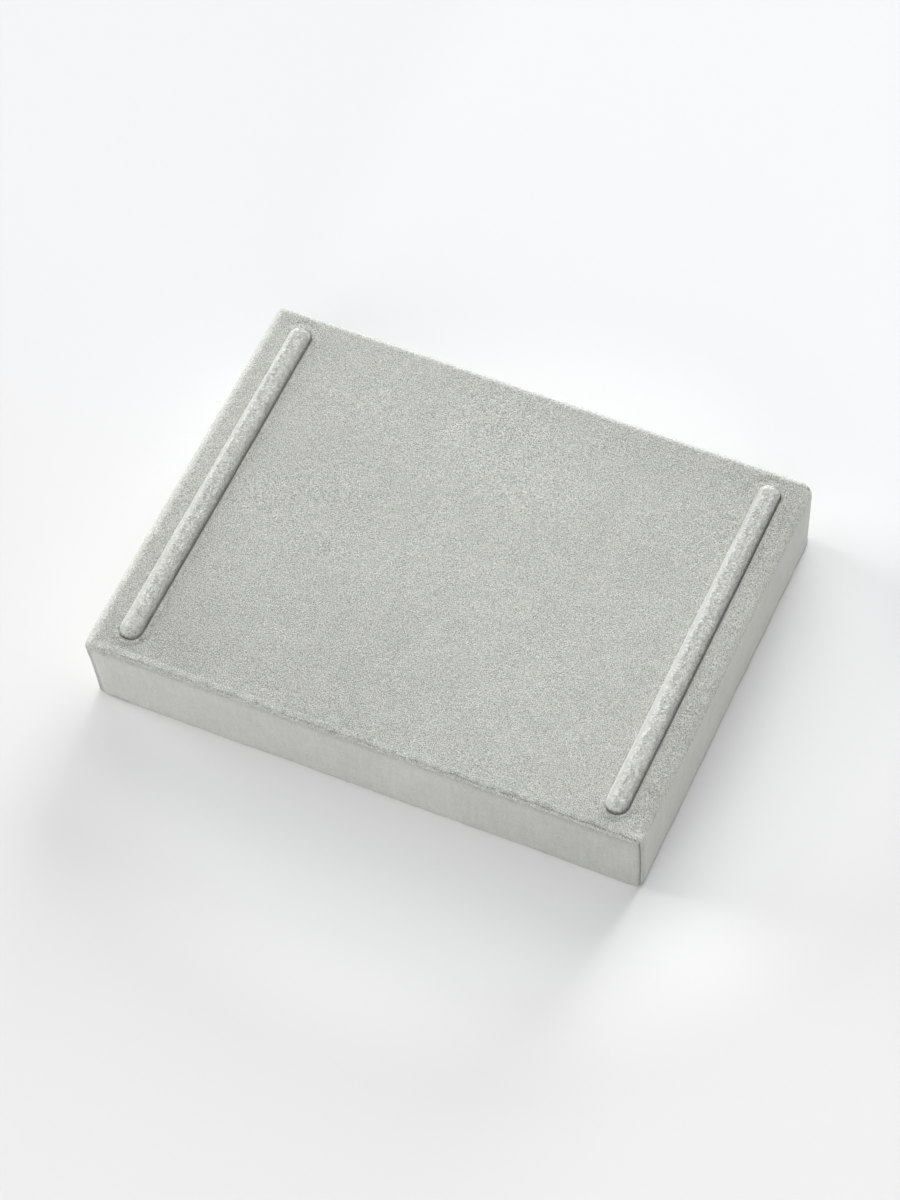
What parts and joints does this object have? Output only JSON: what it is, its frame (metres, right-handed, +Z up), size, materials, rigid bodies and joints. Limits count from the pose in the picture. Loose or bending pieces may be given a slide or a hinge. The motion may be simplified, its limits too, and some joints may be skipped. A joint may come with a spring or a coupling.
{
  "type": "jewelry display pad",
  "caption": "Flat rectangular velour-covered jewelry pad for a drawer, with round-ended padded bars set in slots near the short sides to hold a necklace chain.",
  "frame": {"origin": "centre of the footprint, on the surface that the pad stands on", "axes": "+X along the long side, +Y from front to back (the bars run along Y), +Z up"},
  "size_m": [0.155, 0.12, 0.0254],
  "materials": {
    "velour": "matte",
    "foam": "matte",
    "greyboard": "matte",
    "kraft_tape": "matte",
    "bar_wood": "matte",
    "liner_paper": "matte"
  },
  "bodies": {
    "root": {"velour_cover": "velour", "left_bar_sleeve": "velour", "right_bar_sleeve": "velour", "foam_pad": "foam", "top_board": "greyboard", "front_board": "greyboard", "back_board": "greyboard", "left_board": "greyboard", "right_board": "greyboard", "bottom_board": "greyboard", "left_slot_backing": "greyboard", "right_slot_backing": "greyboard", "corner_tape_front_left": "kraft_tape", "corner_tape_front_right": "kraft_tape", "corner_tape_back_left": "kraft_tape", "corner_tape_back_right": "kraft_tape", "left_bar_core": "bar_wood", "right_bar_core": "bar_wood", "base_liner": "liner_paper"}
  },
  "joints": []
}
